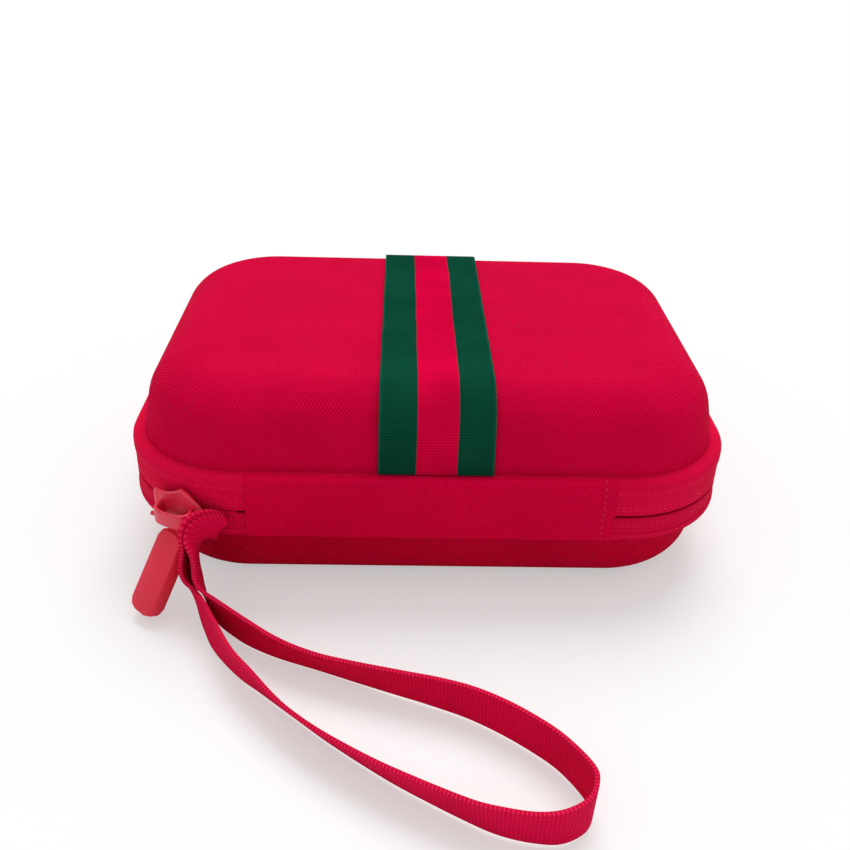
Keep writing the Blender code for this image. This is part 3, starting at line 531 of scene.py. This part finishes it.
def strap():
    """Webbing laid along its route on edge; its ends are gathered into the mouth of the zip."""
    stations = catmull(ROUTE, 8)
    centres = [Vector(s[:3]) for s in stations]
    lengths = [0.0]
    for a, b in zip(centres, centres[1:]):
        lengths.append(lengths[-1] + (b - a).length)
    columns = 10
    bpy.ops.object.select_all(action="DESELECT")
    bpy.ops.mesh.primitive_grid_add(x_subdivisions=len(stations) - 1, y_subdivisions=columns, size=1)
    obj = bpy.context.active_object
    obj.name = "wrist_strap_webbing"
    places = {}
    for v in obj.data.vertices:
        row = round((v.co.x + 0.5) * (len(stations) - 1))
        share = v.co.y
        ahead = centres[min(row + 1, len(centres) - 1)] - centres[max(row - 1, 0)]
        ahead.normalize()
        wide = Vector(stations[row][3:])
        wide = (wide - ahead * wide.dot(ahead)).normalized()
        near_end = min(lengths[row], lengths[-1] - lengths[row])
        width = 2.0 + 8.9 * min(1.0, near_end / 7.0)
        point = centres[row] + wide * share * width
        point.z = max(point.z, 0.9)
        v.co = point * MM
        places[v.index] = (lengths[row] * MM, share * 11.0 * MM)
    layer = obj.data.uv_layers.new(name="route")
    for loop in obj.data.loops:
        layer.data[loop.index].uv = places[loop.vertex_index]
    obj.data.update()
    apply_modifier(obj, "SOLIDIFY", thickness=1.0 * MM, offset=0)
    apply_modifier(obj, "BEVEL", width=0.3 * MM, segments=2)
    bpy.ops.object.shade_smooth_by_angle(angle=math.radians(50))
    paint(obj, WEBBING)
    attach(obj, "base")
    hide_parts("wrist_strap")


strap()



# ---------------------------------------------------------------- slider and puller

ANGLE = math.radians(245.5)
OUT = Vector((math.cos(ANGLE), math.sin(ANGLE), 0))
ALONG = Vector((-OUT.y, OUT.x, 0))


def at_slider(reach, shift, lift):
    """A point given outwards from the corner's centre, along the zip and up, in millimetres."""
    return Vector((CORNER - HALF_X, CORNER - HALF_Y, SLIT)) + OUT * reach + ALONG * shift + Vector((0, 0, lift))


def bail():
    """The arched bridge of the slider, a strip bent over the plate and rounded."""
    arch = catmull([(31.4, -5.4), (33.8, -5.5), (35.3, -4.2), (35.8, -1.0), (35.6, 2.0), (34.6, 3.6), (33.0, 3.9),
                    (31.4, 3.2)], 5)
    bpy.ops.object.select_all(action="DESELECT")
    bpy.ops.mesh.primitive_grid_add(x_subdivisions=len(arch) - 1, y_subdivisions=6, size=1)
    obj = bpy.context.active_object
    obj.name = "bail_arch"
    for v in obj.data.vertices:
        reach, shift = arch[round((v.co.x + 0.5) * (len(arch) - 1))]
        v.co = at_slider(reach, shift, -0.8 + v.co.y * 4.2) * MM
    obj.data.update()
    apply_modifier(obj, "SOLIDIFY", thickness=0.9 * MM, offset=0)
    apply_modifier(obj, "BEVEL", width=0.32 * MM, segments=3)
    bpy.ops.object.shade_smooth_by_angle(angle=math.radians(60))
    paint(obj, PAINT)
    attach(obj, "slider")
    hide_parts("slider_bail")


def puller():
    """The moulded puller: a thick slab with chamfered edges, hung on a neck that passes under the bridge."""
    top, tip = Vector((-63.4, -59.0, 21.6)), Vector((-72.2, -66.4, 1.9))
    down = (tip - top).normalized()
    face = Vector((-0.64, -0.77, 0.0))
    face = (face - down * face.dot(down)).normalized()
    side = down.cross(face)
    turn = Matrix((side, face, down)).transposed().to_4x4()
    length = (tip - top).length
    obj = start_box("puller_slab", (-4.2, -2.3, 0.0), (4.2, 2.3, length))
    select(obj, "edges", lambda e: abs(e.verts[0].co.y - e.verts[1].co.y) > 1e-6)
    bpy.ops.mesh.bevel(offset=2.6 * MM, segments=2, profile=0.5, affect="EDGES")
    select(obj, "edges", lambda e: abs(e.verts[0].co.y - e.verts[1].co.y) < 1e-6)
    bpy.ops.mesh.bevel(offset=0.9 * MM, segments=2, profile=0.5, affect="EDGES")
    end_edit(obj, 25)
    obj.data.transform(Matrix.Translation(top * MM) @ turn)
    paint(obj, RUBBER)
    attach(obj, "puller")
    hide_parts("puller")
    neck = start_box("puller_neck", (-1.4, -0.8, -3.4), (1.4, 0.8, 1.5))
    bpy.ops.mesh.select_all(action="SELECT")
    bpy.ops.mesh.bevel(offset=0.5 * MM, segments=3, profile=0.5, affect="EDGES")
    end_edit(neck, 40)
    neck.data.transform(Matrix.Translation(top * MM) @ turn)
    paint(neck, RUBBER)
    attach(neck, "puller")


def plate():
    """The top plate: shield-shaped, waisted behind its shoulders, with a raised rim."""
    outline = [(-7.4, 4.4), (-5.6, 4.0), (-3.6, 4.1), (-1.4, 4.9), (0.4, 6.0), (2.6, 5.2), (5.0, 3.2), (7.4, 0.9)]
    bpy.ops.object.select_all(action="DESELECT")
    bpy.ops.mesh.primitive_grid_add(x_subdivisions=28, y_subdivisions=20, size=1)
    obj = bpy.context.active_object
    obj.name = "slider_plate"
    for v in obj.data.vertices:
        place = (v.co.x + 0.5) * (len(outline) - 1)
        index = min(int(place), len(outline) - 2)
        (s0, h0), (s1, h1) = outline[index:index + 2]
        share = place - index
        shift, half = s0 + (s1 - s0) * share, h0 + (h1 - h0) * share
        lift = v.co.y * 2 * half
        edge = min(half - abs(lift), shift + 7.4, (7.4 - shift) * 0.6)
        rim = 0.32 * max(0.0, 1 - abs(edge - 0.35) / 0.45)
        v.co = at_slider(31.1 + rim, shift, lift) * MM
    obj.data.update()
    apply_modifier(obj, "SOLIDIFY", thickness=1.0 * MM, offset=0)
    apply_modifier(obj, "BEVEL", width=0.15 * MM, segments=2)
    bpy.ops.object.shade_smooth_by_angle(angle=math.radians(50))
    paint(obj, PAINT)
    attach(obj, "slider")
    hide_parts("slider_body")
    foot = start_box("slider_foot", (-4.4, -3.4, -0.4), (4.4, 3.4, 0.4))
    bpy.ops.mesh.select_all(action="SELECT")
    bpy.ops.mesh.bevel(offset=0.25 * MM, segments=2, profile=0.5, affect="EDGES")
    end_edit(foot, 40)
    post = start_box("slider_post", (-1.5, -0.3, -0.4), (2.5, 0.3, 5.0))
    end_edit(post, 40)
    turned = Matrix((ALONG, Vector((0, 0, 1)), OUT)).transposed().to_4x4()
    for piece in (foot, post):
        piece.data.transform(Matrix.Translation(at_slider(26.2, 0, 0) * MM) @ turned)
        paint(piece, PAINT)
        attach(piece, "slider")


bail()
puller()
plate()


# ---------------------------------------------------------------- studio

bpy.ops.object.select_all(action="DESELECT")
bpy.ops.mesh.primitive_plane_add(size=6, location=(0, 0, -0.0002))
floor = bpy.context.active_object
floor.name = "floor"
paper = Shader("studio_floor")
paper.finish((0.84, 0.84, 0.84, 1), 1.0, 0.0)
seen = paper.tree.nodes.new("ShaderNodeLightPath").outputs["Is Camera Ray"]
paper.put(paper.bsdf.inputs["Base Color"], paper.mix(seen, (0.84, 0.84, 0.84, 1), (0.46, 0.46, 0.46, 1)))
paper.bsdf.inputs["Emission Color"].default_value = (1, 1, 1, 1)
paper.put(paper.bsdf.inputs["Emission Strength"], paper.math("MULTIPLY", seen, 0.45))
paint(floor, paper.material)

world = bpy.data.worlds.new("studio")
scene.world = world
world.use_nodes = True
world.node_tree.nodes["Background"].inputs[0].default_value = (1, 1, 1, 1)
sky = world.node_tree
seen = sky.nodes.new("ShaderNodeLightPath")
level = sky.nodes.new("ShaderNodeMapRange")
level.inputs["To Min"].default_value = 0.68
level.inputs["To Max"].default_value = 1.0
sky.links.new(seen.outputs["Is Camera Ray"], level.inputs["Value"])
sky.links.new(level.outputs[0], sky.nodes["Background"].inputs[1])

sun = bpy.data.lights.new("key", "SUN")
sun.energy = 1.9
sun.angle = math.radians(38)
key = bpy.data.objects.new("key", sun)
scene.collection.objects.link(key)
key.rotation_euler = Vector((-0.10, -0.50, -1.0)).to_track_quat("-Z", "Y").to_euler()
